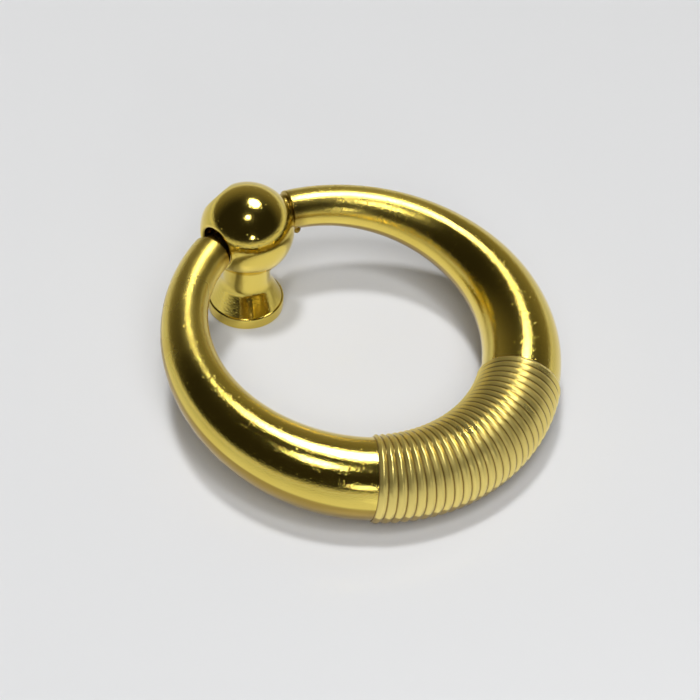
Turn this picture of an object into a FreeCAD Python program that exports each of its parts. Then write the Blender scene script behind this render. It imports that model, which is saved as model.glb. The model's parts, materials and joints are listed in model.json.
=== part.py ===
"""Ring pull handle: a ball-headed post and an open ring that swings in the ball.

Millimetres. The origin is the centre of the foot's underside and +Z runs up the post.
The pivot lies along X, and at rest the ring lies down towards -Y with its grip on the plane of the foot.
"""
import math
import os

import FreeCAD
import Part

# Post
foot_radius = 5.6
foot_rim_height = 1.95
foot_rim_round = 0.3
flare_angle = 28.0
waist_round = 3.0
neck_radius = 3.5
ball_radius = 6.8
pivot_height = 14.9

# Flat on the ball where its casting gate was ground off
grind_depth = 0.5
grind_towards = (-0.16, 0.84, 0.52)

# Tapped hole in the foot
thread_core_radius = 1.65
thread_depth = 9.0
thread_countersink = 0.5
drill_point_angle = 118.0

# Pivot: a pin on each end of the ring in a bore across the ball, which has a wide mouth on each side
pin_radius = 1.9
pin_engagement = 2.2
pin_tip_chamfer = 0.3
pin_fit = 0.05
socket_radius = 2.85
socket_depth = 1.9
socket_round = 0.4

# Ring
ring_radius = 24.0
pivot_inset = 0.5
limb_root_radius = 5.65
limb_end_radius = 2.9
limb_end_round = 0.25
limb_sections = 10
ball_gap = 0.25

# Casting burr under the end of the limb on the +X side
burr_radius = 0.65
burr_setback = 1.0
burr_angle = -140.0

# Ribbed grip, opposite the pivot
rib_count = 27
grip_half_angle = 36.2
grip_radius = 6.25
grip_end_radius = 6.0
groove_width = 0.5
groove_depth = 0.3
rib_crown = 0.1

# The bore, the rounded rims of the ball's mouths and their floors
bore_radius = pin_radius + pin_fit
rim_radius = socket_radius + socket_round
rim_place = math.sqrt((ball_radius - socket_round) ** 2 - rim_radius ** 2)
socket_floor = rim_place - socket_depth

# The ring's flat ends stand off the ball by the gap, its pivot lies a little inside its centre line,
# and its grip rests on the plane of the foot
gap_half_angle = math.degrees(math.asin((ball_radius + ball_gap) / ring_radius))
limb_end_angle = 180.0 - gap_half_angle
limb_cap_angle = math.degrees(2 * limb_end_round / ring_radius)
pivot_distance = ring_radius - pivot_inset
rest_tilt = math.degrees(math.asin((pivot_height - grip_radius) / (pivot_distance + ring_radius)))

ORIGIN = FreeCAD.Vector(0, 0, 0)
X_AXIS = FreeCAD.Vector(1, 0, 0)
Z_AXIS = FreeCAD.Vector(0, 0, 1)
PIVOT = FreeCAD.Vector(0, 0, pivot_height)


def line(start, end):
    return Part.LineSegment(start, end).toShape()


def on_circle(centre, radius, angle):
    turn = math.radians(angle)
    return centre + FreeCAD.Vector(radius * math.cos(turn), 0, radius * math.sin(turn))


def arc(centre, radius, first, last):
    """An arc in the XZ plane between two angles in degrees from +X."""
    angles = (first, (first + last) / 2, last)
    return Part.Arc(*(on_circle(centre, radius, angle) for angle in angles)).toShape()


def joined(edges):
    """A closed wire through the edges in order, with straight lines across the gaps."""
    outline = []
    for edge, following in zip(edges, edges[1:] + edges[:1]):
        outline.append(edge)
        end = edge.Vertexes[-1].Point
        start = following.Vertexes[0].Point
        if end.distanceToPoint(start) > 1e-6:
            outline.append(line(end, start))
    return Part.Wire(outline)


def make_stem():
    """Foot with a rounded rim, conical flare and neck, which ends inside the ball."""
    rim = foot_radius - foot_rim_round
    lower_round = FreeCAD.Vector(rim, 0, foot_rim_round)
    upper_round = FreeCAD.Vector(rim, 0, foot_rim_height - foot_rim_round)
    corner_height = foot_rim_height + (rim - neck_radius) / math.tan(math.radians(flare_angle))
    waist_height = corner_height + waist_round * math.tan(math.radians(flare_angle / 2))
    waist_centre = FreeCAD.Vector(neck_radius + waist_round, 0, waist_height)
    top = pivot_height - (ball_radius + bore_radius) / 2
    outline = joined([
        arc(lower_round, foot_rim_round, -90, 0),
        arc(upper_round, foot_rim_round, 0, 90),
        arc(waist_centre, waist_round, 180 + flare_angle, 180),
        line(FreeCAD.Vector(neck_radius, 0, top), FreeCAD.Vector(0, 0, top)),
        line(FreeCAD.Vector(0, 0, top), ORIGIN),
    ])
    return Part.Face(outline).revolve(ORIGIN, Z_AXIS, 360)


def make_ball():
    """The ball turned about the pivot, with its bore, a mouth on each side and rounded rims, and the ground flat."""
    touch = math.degrees(math.atan2(rim_radius, rim_place))
    right_rim = FreeCAD.Vector(rim_place, 0, rim_radius)
    left_rim = FreeCAD.Vector(-rim_place, 0, rim_radius)
    outline = joined([
        line(FreeCAD.Vector(-socket_floor, 0, bore_radius), FreeCAD.Vector(socket_floor, 0, bore_radius)),
        line(FreeCAD.Vector(socket_floor, 0, socket_radius), FreeCAD.Vector(rim_place, 0, socket_radius)),
        arc(right_rim, socket_round, -90, touch),
        arc(ORIGIN, ball_radius, touch, 180 - touch),
        arc(left_rim, socket_round, 180 - touch, 270),
        line(FreeCAD.Vector(-rim_place, 0, socket_radius), FreeCAD.Vector(-socket_floor, 0, socket_radius)),
    ])
    ball = Part.Face(outline).revolve(ORIGIN, X_AXIS, 360)
    towards = FreeCAD.Vector(*grind_towards).normalize()
    flat = Part.makeCylinder(ball_radius, ball_radius, towards * (ball_radius - grind_depth), towards)
    ball = ball.cut(flat)
    ball.translate(PIVOT)
    return ball


def thread_hole():
    """The tapping hole's core with its countersink and drill point."""
    core = Part.makeCylinder(thread_core_radius, thread_depth)
    countersink = Part.makeCone(thread_core_radius + thread_countersink, thread_core_radius, thread_countersink)
    point_height = thread_core_radius / math.tan(math.radians(drill_point_angle / 2))
    point = Part.makeCone(thread_core_radius, 0, point_height, FreeCAD.Vector(0, 0, thread_depth))
    return core.fuse([countersink, point])


def make_post():
    return make_stem().fuse(make_ball()).cut(thread_hole())


def section(radius, angle, along=0.0):
    """A round section of the ring, at an angle from the middle of the grip and shifted along its axis."""
    circle = Part.Circle(FreeCAD.Vector(along, -ring_radius, 0), X_AXIS, radius).toShape()
    circle.rotate(ORIGIN, Z_AXIS, angle)
    return Part.Wire(circle)


def make_limb():
    """A limb from the grip to its flat end, which tapers as half a cosine wave, and the end's rounded cap."""
    last = limb_end_angle - limb_cap_angle
    sections = []
    for step in range(limb_sections + 1):
        share = step / limb_sections
        fall = (1 - math.cos(math.pi * share)) / 2
        radius = limb_root_radius + (limb_end_radius - limb_root_radius) * fall
        sections.append(section(radius, grip_half_angle + (last - grip_half_angle) * share))
    cap = Part.makeCylinder(limb_end_radius, 2 * limb_end_round, FreeCAD.Vector(0, -ring_radius, 0), X_AXIS)
    cap = cap.makeFillet(limb_end_round, [edge for edge in cap.Edges if edge.CenterOfMass.x > limb_end_round])
    cap.rotate(ORIGIN, Z_AXIS, last)
    return Part.makeLoft(sections, True).fuse(cap)


def make_grip():
    """The ribs, lofted through round sections: a groove, a shoulder, a crown and a shoulder for each rib."""
    pitch = 2 * grip_half_angle / rib_count

    def rib_section(angle, depth, along=0.0):
        fall = (grip_radius - grip_end_radius) * (angle / grip_half_angle) ** 2
        return section(grip_radius - fall - depth, angle, along)

    sections = [rib_section(-grip_half_angle, groove_depth)]
    for rib in range(rib_count):
        start = -grip_half_angle + rib * pitch
        sections += [
            rib_section(start, rib_crown, groove_width / 2),
            rib_section(start + pitch / 2, 0),
            rib_section(start + pitch, rib_crown, -groove_width / 2),
            rib_section(start + pitch, groove_depth),
        ]
    return Part.makeLoft(sections, True, True)


def make_pin():
    """A pivot pin along +X, from its chamfered tip to the limb's slanted end."""
    tip = socket_floor - pin_engagement
    root = (pivot_distance + pin_radius) * math.tan(math.radians(gap_half_angle))
    nose = Part.makeCone(pin_radius - pin_tip_chamfer, pin_radius, pin_tip_chamfer, X_AXIS * tip, X_AXIS)
    shank_start = tip + pin_tip_chamfer
    shank = Part.makeCylinder(pin_radius, root - shank_start, X_AXIS * shank_start, X_AXIS)
    pin = nose.fuse(shank)
    pin.translate(FreeCAD.Vector(0, pivot_distance, 0))
    return pin


def make_burr():
    turn = math.radians(burr_angle)
    out = ring_radius + limb_end_radius * math.cos(turn)
    burr = Part.makeSphere(burr_radius, FreeCAD.Vector(-burr_setback, -out, limb_end_radius * math.sin(turn)))
    burr.rotate(ORIGIN, Z_AXIS, limb_end_angle)
    return burr


def make_ring():
    """Grip, limbs, pins and burr in one casting, laid down about the pivot."""
    half = make_limb().fuse(make_pin())
    ring = make_grip().fuse([half, half.mirror(ORIGIN, X_AXIS), make_burr()]).removeSplitter()
    ring.translate(FreeCAD.Vector(0, -pivot_distance, 0))
    ring.rotate(ORIGIN, X_AXIS, rest_tilt)
    ring.translate(PIVOT)
    return ring


if __name__ == "__main__":
    os.makedirs("parts", exist_ok=True)
    for name, shape in (("post", make_post()), ("ring", make_ring())):
        print(name, shape.ShapeType, len(shape.Solids), "solids", round(shape.Volume, 2), "mm3", shape.isValid())
        shape.exportStep("parts/%s.step" % name)
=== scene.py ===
"""The looks of a ring pull handle: two gold-plated castings on a pale table."""

import json
import math

import bmesh
import bpy
import numpy as np
from mathutils import Matrix, Vector


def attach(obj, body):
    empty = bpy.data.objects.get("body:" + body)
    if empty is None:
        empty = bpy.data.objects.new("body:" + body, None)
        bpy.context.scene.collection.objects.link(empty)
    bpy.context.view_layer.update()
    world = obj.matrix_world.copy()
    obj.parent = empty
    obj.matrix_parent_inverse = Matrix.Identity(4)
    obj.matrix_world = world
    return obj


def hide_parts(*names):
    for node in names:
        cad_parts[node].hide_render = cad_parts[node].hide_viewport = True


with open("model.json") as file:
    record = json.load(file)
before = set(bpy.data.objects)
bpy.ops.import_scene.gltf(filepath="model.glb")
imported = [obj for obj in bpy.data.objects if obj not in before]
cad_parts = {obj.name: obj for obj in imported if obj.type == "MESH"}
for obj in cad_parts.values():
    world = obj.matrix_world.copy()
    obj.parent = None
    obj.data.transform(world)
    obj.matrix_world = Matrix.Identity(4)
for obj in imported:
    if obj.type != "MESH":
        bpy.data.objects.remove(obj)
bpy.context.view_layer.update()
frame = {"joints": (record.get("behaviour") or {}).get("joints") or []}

# Lengths are in metres, written as millimetres
MM = 0.001
PIVOT = np.array(frame["joints"][0]["pos_m"])

# Post
FOOT_RADIUS = 5.6 * MM
FOOT_RIM_HEIGHT = 1.95 * MM
FOOT_RIM_ROUND = 0.3 * MM
FLARE_ANGLE = math.radians(28)
WAIST_ROUND = 3.0 * MM
NECK_RADIUS = 3.5 * MM
BALL_RADIUS = 6.8 * MM

# Flat on the ball where its casting gate was ground off
GRIND_DEPTH = 0.5 * MM
GRIND_BLEND = 0.06 * MM
GRIND_TOWARDS = (-0.16, 0.84, 0.52)

# M4 thread in the foot. A tooth's height is a peak less a slope, cut off at 0 and 1
THREAD_CORE_RADIUS = 1.65 * MM
THREAD_CREST_DEPTH = 0.33 * MM
THREAD_PITCH = 0.7 * MM
THREAD_LENGTH = 9.0 * MM
THREAD_COUNTERSINK = 0.5 * MM
TOOTH_PEAK = 1.15
TOOTH_SLOPE = 2.3
DRILL_POINT_HEIGHT = 0.99 * MM

# Pivot: a pin on each end of the ring in a bore across the ball, with a wide mouth on each side
PIN_RADIUS = 1.9 * MM
PIN_TIP_CHAMFER = 0.3 * MM
PIN_ENGAGEMENT = 2.2 * MM
PIN_ROOT_ROUND = 0.05 * MM
BORE_RADIUS = 1.95 * MM
SOCKET_RADIUS = 2.85 * MM
SOCKET_DEPTH = 1.9 * MM
SOCKET_ROUND = 0.4 * MM
RIM_RADIUS = SOCKET_RADIUS + SOCKET_ROUND
RIM_PLACE = math.sqrt((BALL_RADIUS - SOCKET_ROUND) ** 2 - RIM_RADIUS ** 2)
SOCKET_FLOOR = RIM_PLACE - SOCKET_DEPTH

# Ring
RING_RADIUS = 24.0 * MM
PIVOT_DISTANCE = 23.5 * MM
LIMB_ROOT_RADIUS = 5.65 * MM
LIMB_END_RADIUS = 2.9 * MM
LIMB_END_ROUND = 0.25 * MM
BALL_GAP = 0.25 * MM
GAP_HALF_ANGLE = math.asin((BALL_RADIUS + BALL_GAP) / RING_RADIUS)
LIMB_END_ANGLE = math.pi - GAP_HALF_ANGLE
LIMB_CAP_ANGLE = LIMB_END_ANGLE - 2 * LIMB_END_ROUND / RING_RADIUS

# Casting burr under the end of the limb on the +X side
BURR_RADIUS = 0.65 * MM
BURR_REACH = 3 * BURR_RADIUS
BURR_SETBACK = 1.0 * MM
BURR_ANGLE = math.radians(-140)

# Ribbed grip, and the mould's parting line across its ribs
RIB_COUNT = 27
GRIP_HALF_ANGLE = math.radians(36.2)
GRIP_RADIUS = 6.25 * MM
GRIP_END_RADIUS = 6.0 * MM
GROOVE_HALF_WIDTH = 0.25 * MM
GROOVE_DEPTH = 0.3 * MM
RIB_CROWN = 0.17 * MM
RIB_FLATNESS = 0.9
PARTING_ANGLE = math.radians(97)
PARTING_WIDTH = math.radians(2.5)
PARTING_FILL = 0.6
PARTING_MISMATCH = 0.12 * MM
REST_TILT = math.asin((PIVOT[2] - GRIP_RADIUS) / (PIVOT_DISTANCE + RING_RADIUS))

# Mesh density: columns round a piece, rows along it, and places of rows as shares of a face
RING_COLUMNS = 112
LIMB_ROWS = 140
LIMB_END_ROWS = 36
CAP_ROWS = 9
CAP_EDGE_ROWS = 7
FLAT_END_SHARES = (0.33, 0.67)
PIN_ROOT_ROWS = 5
PIN_TIP_SHARE = 0.4
RIB_ROWS = 7
GROOVE_SHARES = np.array([0.0, 0.3, 0.55, 0.78, 1.0])
BALL_COLUMNS = 224
BALL_ROWS = 160
BORE_ROWS = 8
SOCKET_ROWS = 6
SOCKET_RIM_ROWS = 14
POST_COLUMNS = 144
FOOT_FACE_SHARES = (0.55, 0.7, 0.85)
FOOT_EDGE_ROWS = 9
FLARE_ROWS = 20
WAIST_ROWS = 24
NECK_ROWS = 12
THREAD_TURN_ROWS = 12
SHARP_ANGLE = math.radians(35)

# Camera, fitted to the photograph's square frame
FRAME_PIXELS = 700
FOCAL_PIXELS = 2600
CENTRE_PIXELS = (348.3, 345.7)
CAMERA_TARGET = Vector((0, -22 * MM, 8 * MM))
CAMERA_DISTANCE = 367.8 * MM
CAMERA_AZIMUTH = math.radians(-45.1)
CAMERA_ELEVATION = math.radians(44.8)
CAMERA_ROLL = math.radians(3.73)
CAMERA_CLIP = 10 * MM
SENSOR_WIDTH = 36.0

# Gold plating, uneven in tone and polish, and paler on the grip
GOLD = (0.87, 0.70, 0.165, 1)
GOLD_DEEP = (0.82, 0.62, 0.11, 1)
GOLD_PALE = (0.90, 0.73, 0.22, 1)
POLISH_SCALE = 180.0
POLISH_DETAIL = 3.0
POLISH_SPREAD = (0.3, 0.7)
POLISH_EFFECT = (0.8, 1.25)
POST_ROUGHNESS = 0.11
RING_ROUGHNESS = 0.13
RING_END_ROUGHNESS = 0.27
GRIP_ROUGHNESS = 0.32
GRIP_METALLIC = 0.85
SATIN_FADE = (-24 * MM, -6 * MM)

# Grain and pits of the castings, each with its spacing and height
RING_GRAIN = (0.24 * MM, 0.024 * MM)
RING_PITS = (0.6 * MM, 0.014 * MM)
POST_GRAIN = (0.35 * MM, 0.012 * MM)
POST_PITS = (0.8 * MM, 0.012 * MM)
GRAIN_DETAIL = 2.0
PIT_WALL = (0.05, 0.2)

# Painted shade, darkening the colour in the grooves and the ball's mouths, near the pivot and along the
# ring's underside
PAINTED_SHADE_COLOUR = (0.20, 0.10, 0.02, 1)
GROOVE_SHADE = 0.9
GROOVE_SHADE_FALL = 1.5
MOUTH_SHADE = 0.7
PIVOT_SHADE = 0.5
PIVOT_SHADE_REACH = (9.5 * MM, 7.5 * MM)
UNDERSIDE_SHADE = 0.7
UNDERSIDE_EDGE = (0.25 * MM, -0.05 * MM)
UNDERSIDE_SLANT = 0.6 * MM
UNDERSIDE_DROP = 1.5 * MM

# Table
FLOOR_RADIUS = 0.6
FLOOR_SIDES = 96
FLOOR_TONE = (0.83, 0.84, 0.86)
FLOOR_SHADE = 0.97
FLOOR_CLOUD_SCALE = 9.0
FLOOR_CLOUD_DETAIL = 2.0
FLOOR_ROUGHNESS = 0.22
FLOOR_GLOSS = 0.35

# Each lamp has a name, azimuth, elevation, width and height in degrees, its brightness as a share of
# the table's light, and whether it lights the table and shows in the metal
TABLE_LIGHT = 3.05
LAMP_DISTANCE = 2.5
LAMPS = (
    ("overhead_lamp", -143, 84, 8, 8, 0.40, True, False),
    ("front_lamp", -40, 52, 40, 40, 0.40, True, False),
    ("main_lamp", 103, 67, 24, 20, 0.52, False, True),
    ("spot_lamp", -40, 70, 10, 8, 0.14, True, True),
    ("low_lamp", -28, 20, 7, 6, 0.012, True, True),
)

# Room above the table, and the pale backdrop round it
ROOM_TINT = (1.0, 0.88, 0.60)
ROOM_BRIGHTNESS = (0.02, 0.26)
ROOM_SLANT = math.radians(35)
ROOM_FADE = (-0.3, 0.85)
BACKDROP = (0.7, 0.7, 0.7, 1)
BACKDROP_FADE = (0.02, 0.2)


def smoothstep(value, low, high):
    part = np.clip((value - low) / (high - low), 0, 1)
    return part * part * (3 - 2 * part)


def quarter(steps):
    """Angles from 0 to a right angle."""
    return np.linspace(0, math.pi / 2, steps)


def full_turn(columns):
    """Angles once round, evenly spaced."""
    return np.linspace(0, 2 * math.pi, columns, endpoint=False)


def tube_faces(rows, columns):
    """Quads between successive closed rows of vertices."""
    faces = []
    for row in range(rows - 1):
        here = row * columns
        there = here + columns
        for column in range(columns):
            after = (column + 1) % columns
            faces.append((here + column, here + after, there + after, there + column))
    return faces


def capped_tube(rows, start, end):
    """A closed mesh through the rows, with a point at each end."""
    columns = len(rows[0])
    count = len(rows)
    vertices = np.concatenate([np.concatenate(rows), [start, end]])
    faces = tube_faces(count, columns)
    first_point = count * columns
    last_row = (count - 1) * columns
    for column in range(columns):
        after = (column + 1) % columns
        faces.append((first_point, after, column))
        faces.append((first_point + 1, last_row + column, last_row + after))
    return vertices, faces


def looped_tube(rows):
    """A closed mesh whose last row joins its first."""
    columns = len(rows[0])
    faces = tube_faces(len(rows), columns)
    last_row = (len(rows) - 1) * columns
    for column in range(columns):
        after = (column + 1) % columns
        faces.append((last_row + column, last_row + after, after, column))
    return np.concatenate(rows), faces


def make_object(name, vertices, faces):
    mesh = bpy.data.meshes.new(name)
    mesh.from_pydata(vertices.tolist(), [], faces)
    work = bmesh.new()
    work.from_mesh(mesh)
    bmesh.ops.recalc_face_normals(work, faces=work.faces)
    work.to_mesh(mesh)
    work.free()
    piece = bpy.data.objects.new(name, mesh)
    bpy.context.scene.collection.objects.link(piece)
    return piece


def paint(piece, name, values):
    """A mask for the material, with one value for each vertex."""
    mask = piece.data.attributes.new(name, "FLOAT", "POINT")
    mask.data.foreach_set("value", values)


def finish_piece(piece, node, body, material):
    """Shade a piece and let it stand for its solid."""
    piece.data.shade_smooth()
    piece.data.set_sharp_from_angle(angle=SHARP_ANGLE)
    piece.data.materials.clear()
    piece.data.materials.append(material)
    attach(piece, body)
    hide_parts(node)


# Ring

def ring_row(angle, radius, along=0.0):
    """A closed row at an angle from the grip's middle. Radius and along may vary round the section."""
    around = full_turn(RING_COLUMNS)
    outward = np.array([math.sin(angle), -math.cos(angle), 0])
    tangent = np.array([math.cos(angle), math.sin(angle), 0])
    section = np.outer(np.cos(around), outward) + np.outer(np.sin(around), [0, 0, 1])
    radius = np.broadcast_to(radius, around.shape)
    along = np.broadcast_to(along, around.shape)
    return RING_RADIUS * outward + radius[:, None] * section + along[:, None] * tangent


def burr_height(from_end):
    """How far the burr stands out of a section at a distance from the limb's flat end."""
    turned = full_turn(RING_COLUMNS) - BURR_ANGLE
    aside = LIMB_END_RADIUS * ((turned + math.pi) % (2 * math.pi) - math.pi)
    return np.sqrt(np.maximum(BURR_RADIUS ** 2 - aside ** 2 - (from_end - BURR_SETBACK) ** 2, 0))


def limb_rows(burrs):
    """The limb at positive angles with 0 or 1 burrs, tapering as half a cosine wave from grip to cap."""
    fine = LIMB_CAP_ANGLE - BURR_REACH / RING_RADIUS
    angles = np.concatenate([
        np.linspace(GRIP_HALF_ANGLE, fine, LIMB_ROWS)[:-1],
        np.linspace(fine, LIMB_CAP_ANGLE, LIMB_END_ROWS),
    ])
    rows = []
    for angle in angles:
        share = (angle - GRIP_HALF_ANGLE) / (LIMB_CAP_ANGLE - GRIP_HALF_ANGLE)
        fall = (1 - math.cos(math.pi * share)) / 2
        radius = LIMB_ROOT_RADIUS + (LIMB_END_RADIUS - LIMB_ROOT_RADIUS) * fall
        from_end = (LIMB_END_ANGLE - angle) * RING_RADIUS
        rows.append(ring_row(angle, radius + burrs * burr_height(from_end)))
    return rows


def end_rows(burrs):
    """The limb's rounded cap, its flat end and the pin at positive angles, to the pin's tip."""
    around = full_turn(RING_COLUMNS)
    edge = []
    for along in np.linspace(0, LIMB_END_ROUND, CAP_ROWS)[1:]:
        radius = LIMB_END_RADIUS + burrs * burr_height(2 * LIMB_END_ROUND - along)
        edge.append(ring_row(LIMB_CAP_ANGLE, radius, along))
    for turn in quarter(CAP_EDGE_ROWS)[1:]:
        radius = LIMB_END_RADIUS - LIMB_END_ROUND * (1 - math.cos(turn))
        edge.append(ring_row(LIMB_CAP_ANGLE, radius, LIMB_END_ROUND * (1 + math.sin(turn))))

    def root_row(radius, inward):
        """A row round the pin, measured towards the ball from the limb's slanted end."""
        across = PIVOT_DISTANCE + radius * np.cos(around)
        start = (across * math.sin(LIMB_CAP_ANGLE) - 2 * LIMB_END_ROUND) / -math.cos(LIMB_CAP_ANGLE)
        return np.stack([start - inward, across, radius * np.sin(around)], axis=1)

    def shank_row(radius, place):
        across = PIVOT_DISTANCE + radius * np.cos(around)
        return np.stack([np.full_like(around, place), across, radius * np.sin(around)], axis=1)

    root = [
        root_row(PIN_RADIUS + PIN_ROOT_ROUND * (1 - math.sin(turn)), PIN_ROOT_ROUND * (1 - math.cos(turn)))
        for turn in quarter(PIN_ROOT_ROWS)
    ]
    flat = [edge[-1] * (1 - share) + root[0] * share for share in FLAT_END_SHARES]
    tip = SOCKET_FLOOR - PIN_ENGAGEMENT
    shank = [
        shank_row(PIN_RADIUS, SOCKET_FLOOR),
        shank_row(PIN_RADIUS, tip + PIN_TIP_CHAMFER),
        shank_row(PIN_RADIUS - PIN_TIP_CHAMFER, tip),
        shank_row(PIN_RADIUS * PIN_TIP_SHARE, tip),
    ]
    return edge + flat + root + shank


def grip_rows():
    """The ribs, broken along the mould's parting line, and the share of painted shade on each of their
    vertices, darker deeper in the grooves.
    """
    around = full_turn(RING_COLUMNS)
    from_parting = np.minimum(abs(around - PARTING_ANGLE), abs(2 * math.pi - around - PARTING_ANGLE))
    inner_half = (around > PARTING_ANGLE) & (around < 2 * math.pi - PARTING_ANGLE)
    side = np.where(inner_half, 1, -1) * smoothstep(from_parting, 0, PARTING_WIDTH)
    shift = PARTING_MISMATCH / 2 * side
    fill = 1 - PARTING_FILL * np.exp(-(from_parting / PARTING_WIDTH) ** 2)

    pitch = 2 * GRIP_HALF_ANGLE / RIB_COUNT
    groove_rise = GROOVE_DEPTH - RIB_CROWN
    groove_depths = groove_rise * (1 + np.cos(math.pi * GROOVE_SHARES)) / 2
    rib_shares = np.linspace(0, 1, RIB_ROWS)[1:-1]

    def shoulder(angle):
        return GRIP_RADIUS - RIB_CROWN - (GRIP_RADIUS - GRIP_END_RADIUS) * (angle / GRIP_HALF_ANGLE) ** 2

    def groove_row(angle, share, depth):
        return ring_row(angle, shoulder(angle) - depth * fill, share * GROOVE_HALF_WIDTH + shift)

    def rib_row(start, share):
        angle = start + pitch * share
        crown = RIB_CROWN * math.sin(math.pi * share) ** RIB_FLATNESS
        return ring_row(angle, shoulder(angle) + crown, GROOVE_HALF_WIDTH * (1 - 2 * share) + shift)

    rising = list(zip(GROOVE_SHARES, groove_depths))
    falling = rising[:0:-1]
    rows = []
    depths = []
    for rib in range(RIB_COUNT):
        start = rib * pitch - GRIP_HALF_ANGLE
        rows += [groove_row(start, share, depth) for share, depth in rising]
        rows += [rib_row(start, share) for share in rib_shares]
        rows += [groove_row(start + pitch, -share, depth) for share, depth in falling]
        depths += [*groove_depths, *np.zeros(len(rib_shares)), *groove_depths[:0:-1]]
    rows.append(groove_row(GRIP_HALF_ANGLE, 0, groove_rise))
    depths.append(groove_rise)
    return rows, [fill * (depth / groove_rise) ** GROOVE_SHADE_FALL for depth in depths]


def mirrored(rows):
    """The same rows on the other side of the ring, in the opposite order."""
    return [row * (-1, 1, 1) for row in rows[::-1]]


def lay_down(points):
    """From the ring's own plane to its place at rest."""
    turned = points - (0, PIVOT_DISTANCE, 0)
    across = turned[:, 1] * math.cos(REST_TILT) - turned[:, 2] * math.sin(REST_TILT)
    height = turned[:, 1] * math.sin(REST_TILT) + turned[:, 2] * math.cos(REST_TILT)
    return np.stack([turned[:, 0], across, height], axis=1) + PIVOT


def make_ring(material):
    left = mirrored(limb_rows(0) + end_rows(0))
    grip, groove_shade = grip_rows()
    right = limb_rows(1) + end_rows(1)
    tip = np.array([SOCKET_FLOOR - PIN_ENGAGEMENT, PIVOT_DISTANCE, 0])
    flat, faces = capped_tube(left + grip + right, tip * (-1, 1, 1), tip)
    places = lay_down(flat)
    piece = make_object("ring_casting", places, faces)

    on_grip = slice(len(left) * RING_COLUMNS, (len(left) + len(grip)) * RING_COLUMNS)
    ribbed = np.zeros(len(places))
    ribbed[on_grip] = 1
    # Painted shade down the grooves, darker the deeper they go
    grooved = np.zeros(len(places))
    grooved[on_grip] = np.concatenate(groove_shade)
    # Painted shade near the pivot, where the ring's ends meet the ball
    near_pivot = smoothstep(np.linalg.norm(places - PIVOT, axis=1), *PIVOT_SHADE_REACH)
    # Painted shade along the ring's underside, standing in for the shadowed table reflected there
    outward = np.clip((np.hypot(flat[:, 0], flat[:, 1]) - RING_RADIUS) / LIMB_END_RADIUS, -1, 1)
    height = flat[:, 2] - UNDERSIDE_SLANT * outward + UNDERSIDE_DROP * ribbed
    underside = smoothstep(height, *UNDERSIDE_EDGE)
    # The painted shade mask takes the strongest of the three
    painted_shade = (GROOVE_SHADE * grooved, PIVOT_SHADE * near_pivot, UNDERSIDE_SHADE * underside)
    paint(piece, "ribbed", ribbed)
    paint(piece, "painted_shade", np.max(painted_shade, axis=0))
    finish_piece(piece, "ring", "ring", material)


# Post

def turned_row(radius, height):
    """A closed row about Z. Radius and height may vary round it."""
    around = full_turn(POST_COLUMNS)
    heights = np.broadcast_to(height, around.shape)
    return np.stack([radius * np.cos(around), radius * np.sin(around), heights], axis=1)


def thread_rows():
    """The tapped wall, from its deep end down to the countersink."""
    around = full_turn(POST_COLUMNS)
    count = int(THREAD_TURN_ROWS * THREAD_LENGTH / THREAD_PITCH)
    rows = []
    for height in np.linspace(THREAD_LENGTH, THREAD_COUNTERSINK, count):
        phase = (height / THREAD_PITCH - around / (2 * math.pi)) % 1
        tooth = np.clip(TOOTH_PEAK - TOOTH_SLOPE * abs(2 * phase - 1), 0, 1)
        run_out = smoothstep(THREAD_LENGTH - height, 0, THREAD_PITCH)
        rows.append(turned_row(THREAD_CORE_RADIUS + THREAD_CREST_DEPTH * tooth * run_out, height))
    return rows


def foot_rows():
    """Countersink, underside, rounded rim, flared waist and the neck, which ends inside the ball."""
    rim = FOOT_RADIUS - FOOT_RIM_ROUND
    corner = FOOT_RIM_HEIGHT + (rim - NECK_RADIUS) / math.tan(FLARE_ANGLE)
    waist = corner + WAIST_ROUND * math.tan(FLARE_ANGLE / 2)

    def waist_point(turn):
        return NECK_RADIUS + WAIST_ROUND * (1 - math.cos(turn)), waist - WAIST_ROUND * math.sin(turn)

    outline = [(THREAD_CORE_RADIUS + THREAD_COUNTERSINK, 0)]
    outline += [(share * FOOT_RADIUS, 0) for share in FOOT_FACE_SHARES]
    for turn in quarter(FOOT_EDGE_ROWS):
        outline.append((rim + FOOT_RIM_ROUND * math.sin(turn), FOOT_RIM_ROUND * (1 - math.cos(turn))))
    for turn in quarter(FOOT_EDGE_ROWS):
        height = FOOT_RIM_HEIGHT - FOOT_RIM_ROUND * (1 - math.sin(turn))
        outline.append((rim + FOOT_RIM_ROUND * math.cos(turn), height))
    waist_radius, waist_height = waist_point(FLARE_ANGLE)
    flare_radii = np.linspace(rim, waist_radius, FLARE_ROWS)[1:]
    flare_heights = np.linspace(FOOT_RIM_HEIGHT, waist_height, FLARE_ROWS)[1:]
    outline += list(zip(flare_radii, flare_heights))
    outline += [waist_point(turn) for turn in np.linspace(FLARE_ANGLE, 0, WAIST_ROWS)[1:]]
    top = PIVOT[2] - (BALL_RADIUS + BORE_RADIUS) / 2
    outline += [(NECK_RADIUS, height) for height in np.linspace(waist, top, NECK_ROWS)[1:]]
    outline.append((NECK_RADIUS / 2, top))
    return [turned_row(radius, height) for radius, height in outline]


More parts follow.
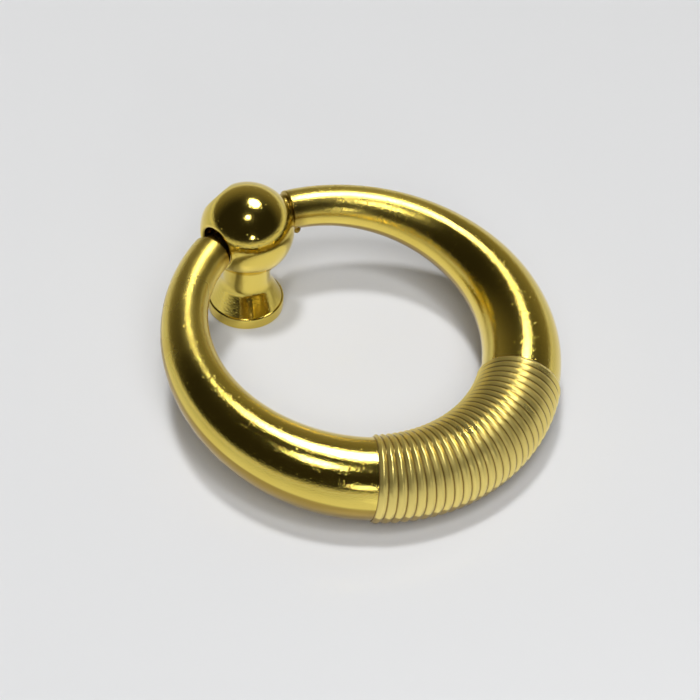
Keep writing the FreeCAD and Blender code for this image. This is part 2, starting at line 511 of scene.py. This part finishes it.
def ball_outline():
    """The ball's closed outline in (x, radius), with the bore, a mouth on each side and rounded rims."""
    touch = math.atan2(RIM_RADIUS, RIM_PLACE)
    half = [(place, BORE_RADIUS) for place in np.linspace(0, SOCKET_FLOOR, BORE_ROWS)]
    half += [(SOCKET_FLOOR, radius) for radius in np.linspace(BORE_RADIUS, SOCKET_RADIUS, SOCKET_ROWS)[1:]]
    half += [(place, SOCKET_RADIUS) for place in np.linspace(SOCKET_FLOOR, RIM_PLACE, SOCKET_ROWS)[1:]]
    for turn in np.linspace(-math.pi / 2, touch, SOCKET_RIM_ROWS)[1:]:
        half.append((RIM_PLACE + SOCKET_ROUND * math.cos(turn), RIM_RADIUS + SOCKET_ROUND * math.sin(turn)))
    for turn in np.linspace(touch, math.pi / 2, BALL_ROWS // 2)[1:]:
        half.append((BALL_RADIUS * math.cos(turn), BALL_RADIUS * math.sin(turn)))
    other = [(-place, radius) for place, radius in half[-2:0:-1]]
    return half + other


def grind(points):
    """Flatten the ball where its casting gate was ground off, with a polished edge."""
    towards = np.array(GRIND_TOWARDS)
    towards = towards / np.linalg.norm(towards)
    reach = points @ towards
    over = reach - BALL_RADIUS + GRIND_DEPTH
    soft = GRIND_BLEND * np.logaddexp(0, over / GRIND_BLEND)
    return points - np.outer(np.where(reach > 0, soft, 0), towards)


def make_ball():
    around = full_turn(BALL_COLUMNS)
    rows = []
    for place, radius in ball_outline():
        across = np.full_like(around, place)
        row = np.stack([across, radius * np.cos(around), radius * np.sin(around)], axis=1)
        rows.append(grind(row) + PIVOT)
    return make_object("ball", *looped_tube(rows))


def make_post(material):
    rows = thread_rows() + foot_rows()
    drill_tip = np.array([0, 0, THREAD_LENGTH + DRILL_POINT_HEIGHT])
    neck_end = np.array([0, 0, rows[-1][0][2]])
    piece = make_object("post_casting", *capped_tube(rows, drill_tip, neck_end))
    ball = make_ball()
    join = piece.modifiers.new("join", "BOOLEAN")
    join.operation = "UNION"
    join.solver = "EXACT"
    join.object = ball
    bpy.context.view_layer.update()
    joined = bpy.data.meshes.new_from_object(piece.evaluated_get(bpy.context.evaluated_depsgraph_get()))
    piece.modifiers.clear()
    piece.data = joined
    bpy.data.objects.remove(ball)
    places = np.array([vertex.co for vertex in joined.vertices])
    from_axis = np.linalg.norm(places[:, 1:] - PIVOT[1:], axis=1)
    # Painted shade inside the ball's mouths
    paint(piece, "painted_shade", MOUTH_SHADE * smoothstep(from_axis, RIM_RADIUS, SOCKET_RADIUS))
    finish_piece(piece, "post", "post", material)


# Materials

class Nodes:
    """A short way to add nodes to one tree and join them."""

    def __init__(self, tree):
        self.tree = tree

    def link(self, output, node, name):
        self.tree.links.new(output, node.inputs[name])

    def add(self, kind, settings=None, inputs=None):
        node = self.tree.nodes.new(kind)
        for name, value in (settings or {}).items():
            setattr(node, name, value)
        for name, value in (inputs or {}).items():
            if isinstance(value, bpy.types.NodeSocket):
                self.link(value, node, name)
            else:
                node.inputs[name].default_value = value
        return node

    def noise(self, place, scale, detail):
        inputs = {"Vector": place, "Scale": scale, "Detail": detail}
        return self.add("ShaderNodeTexNoise", inputs=inputs).outputs["Fac"]

    def mask(self, name):
        """What was painted on the piece."""
        return self.add("ShaderNodeAttribute", {"attribute_name": name}).outputs["Fac"]

    def ramp(self, value, source, target, interpolation="LINEAR"):
        """A value brought from one range to another, and kept inside it."""
        inputs = {
            "Value": value,
            "From Min": source[0],
            "From Max": source[1],
            "To Min": target[0],
            "To Max": target[1],
        }
        return self.add("ShaderNodeMapRange", {"interpolation_type": interpolation}, inputs).outputs["Result"]

    def blend(self, share, first, second):
        """A colour between two others."""
        inputs = {"Factor": share, "A": first, "B": second}
        return self.add("ShaderNodeMix", {"data_type": "RGBA"}, inputs).outputs["Result"]


def new_material(name):
    """A material, its nodes and its shader."""
    material = bpy.data.materials.new(name)
    material.use_nodes = True
    tree = material.node_tree
    return material, Nodes(tree), tree.nodes["Principled BSDF"]


def gold(name, roughness, grain, pits, on_ring):
    """Gold plating over a grainy, pitted casting, unevenly polished. The ring's ends and grip are satin."""
    material, nodes, shader = new_material(name)
    place = nodes.add("ShaderNodeTexCoord").outputs["Object"]
    polish = nodes.noise(place, POLISH_SCALE, POLISH_DETAIL)
    tone = nodes.blend(polish, GOLD, GOLD_DEEP)
    grain_spacing, grain_height = grain
    pit_spacing, pit_height = pits
    shader.inputs["Metallic"].default_value = 1.0
    if on_ring:
        ribbed = nodes.mask("ribbed")
        across = nodes.add("ShaderNodeSeparateXYZ", inputs={0: place}).outputs["Y"]
        satin = nodes.ramp(across, SATIN_FADE, (roughness, RING_END_ROUGHNESS), "SMOOTHSTEP")
        roughness = nodes.ramp(ribbed, (0, 1), (satin, GRIP_ROUGHNESS))
        pit_height = nodes.ramp(ribbed, (0, 1), (pit_height, 0))
        tone = nodes.blend(ribbed, tone, GOLD_PALE)
        nodes.link(nodes.ramp(ribbed, (0, 1), (1, GRIP_METALLIC)), shader, "Metallic")

    grains = nodes.noise(place, 1 / grain_spacing, GRAIN_DETAIL)
    grained = nodes.add("ShaderNodeBump", inputs={"Height": grains, "Distance": grain_height})
    cells = nodes.add("ShaderNodeTexVoronoi", inputs={"Vector": place, "Scale": 1 / pit_spacing})
    wall = nodes.ramp(cells.outputs["Distance"], PIT_WALL, (0, 1), "SMOOTHSTEP")
    pitted = nodes.add("ShaderNodeBump", inputs={"Height": wall, "Distance": pit_height})
    for bump in (grained, pitted):
        bump.inputs["Strength"].default_value = 1.0
    nodes.link(grained.outputs["Normal"], pitted, "Normal")
    nodes.link(pitted.outputs["Normal"], shader, "Normal")

    uneven = nodes.ramp(polish, POLISH_SPREAD, POLISH_EFFECT)
    finish = nodes.add("ShaderNodeMath", {"operation": "MULTIPLY"}, {0: roughness, 1: uneven})
    nodes.link(finish.outputs["Value"], shader, "Roughness")
    # Colour darkened towards the painted shade colour where the painted shade mask is set
    nodes.link(nodes.blend(nodes.mask("painted_shade"), tone, PAINTED_SHADE_COLOUR), shader, "Base Color")
    return material


def table_top():
    """Pale, slightly glossy table."""
    material, nodes, shader = new_material("table_top")
    place = nodes.add("ShaderNodeTexCoord").outputs["Object"]
    cloud = nodes.noise(place, FLOOR_CLOUD_SCALE, FLOOR_CLOUD_DETAIL)
    shaded = (*[FLOOR_SHADE * tone for tone in FLOOR_TONE], 1)
    nodes.link(nodes.blend(cloud, shaded, (*FLOOR_TONE, 1)), shader, "Base Color")
    shader.inputs["Roughness"].default_value = FLOOR_ROUGHNESS
    shader.inputs["Specular IOR Level"].default_value = FLOOR_GLOSS
    return material


# Stage

def direction(azimuth, elevation):
    """The direction to a place seen at that azimuth and elevation, as for the camera."""
    level = math.cos(elevation)
    return Vector((math.sin(azimuth) * level, -math.cos(azimuth) * level, math.sin(elevation)))


def make_floor():
    bpy.ops.mesh.primitive_circle_add(vertices=FLOOR_SIDES, radius=FLOOR_RADIUS, fill_type="NGON")
    floor = bpy.context.object
    floor.name = "table"
    floor.data.materials.append(table_top())


def make_lamp(name, azimuth, elevation, width, height, share, lights_table, reflected):
    """A soft box, as bright as one that gives its share of the table's light."""
    towards = direction(math.radians(azimuth), math.radians(elevation))
    data = bpy.data.lights.new(name, "AREA")
    data.shape = "ELLIPSE"
    data.size = LAMP_DISTANCE * math.radians(width)
    data.size_y = LAMP_DISTANCE * math.radians(height)
    area = math.pi / 4 * data.size * data.size_y
    brightness = share * TABLE_LIGHT * LAMP_DISTANCE ** 2 / (towards.z * area)
    data.energy = brightness * math.pi * area
    lamp = bpy.data.objects.new(name, data)
    lamp.visible_diffuse = lights_table
    lamp.visible_glossy = reflected
    lamp.location = towards * LAMP_DISTANCE
    lamp.rotation_euler = towards.to_track_quat("Z", "Y").to_euler()
    bpy.context.scene.collection.objects.link(lamp)


def make_world():
    """A dim warm room, darkest on the camera's side, above a pale backdrop that ends low round the table."""
    world = bpy.data.worlds.new("room")
    world.use_nodes = True
    bpy.context.scene.world = world
    nodes = Nodes(world.node_tree)
    place = nodes.add("ShaderNodeTexCoord").outputs["Generated"]
    away = -direction(CAMERA_AZIMUTH, ROOM_SLANT)
    facing = nodes.add("ShaderNodeVectorMath", {"operation": "DOT_PRODUCT"}, {0: place, 1: away})
    brightness = nodes.ramp(facing.outputs["Value"], ROOM_FADE, ROOM_BRIGHTNESS, "SMOOTHSTEP")
    room = nodes.add("ShaderNodeVectorMath", {"operation": "SCALE"}, {0: ROOM_TINT, "Scale": brightness})
    height = nodes.add("ShaderNodeSeparateXYZ", inputs={0: place}).outputs["Z"]
    above = nodes.ramp(height, BACKDROP_FADE, (0, 1), "SMOOTHSTEP")
    surroundings = nodes.blend(above, BACKDROP, room.outputs["Vector"])
    nodes.link(surroundings, world.node_tree.nodes["Background"], "Color")


def make_camera():
    back = direction(CAMERA_AZIMUTH, CAMERA_ELEVATION)
    level = Vector((math.cos(CAMERA_AZIMUTH), math.sin(CAMERA_AZIMUTH), 0))
    right = Matrix.Rotation(CAMERA_ROLL, 3, back) @ level
    up = back.cross(right)
    data = bpy.data.cameras.new("camera")
    data.sensor_width = SENSOR_WIDTH
    data.lens = SENSOR_WIDTH * FOCAL_PIXELS / FRAME_PIXELS
    data.shift_x = (FRAME_PIXELS / 2 - CENTRE_PIXELS[0]) / FRAME_PIXELS
    data.shift_y = (CENTRE_PIXELS[1] - FRAME_PIXELS / 2) / FRAME_PIXELS
    data.clip_start = CAMERA_CLIP
    camera = bpy.data.objects.new("camera", data)
    axes = Matrix((right, up, back)).transposed()
    camera.matrix_world = Matrix.Translation(CAMERA_TARGET + back * CAMERA_DISTANCE) @ axes.to_4x4()
    bpy.context.scene.collection.objects.link(camera)
    bpy.context.scene.camera = camera


make_ring(gold("ring_gold", RING_ROUGHNESS, RING_GRAIN, RING_PITS, True))
make_post(gold("post_gold", POST_ROUGHNESS, POST_GRAIN, POST_PITS, False))
make_floor()
for lamp in LAMPS:
    make_lamp(*lamp)
make_world()
make_camera()
bpy.context.scene.view_settings.view_transform = "Standard"
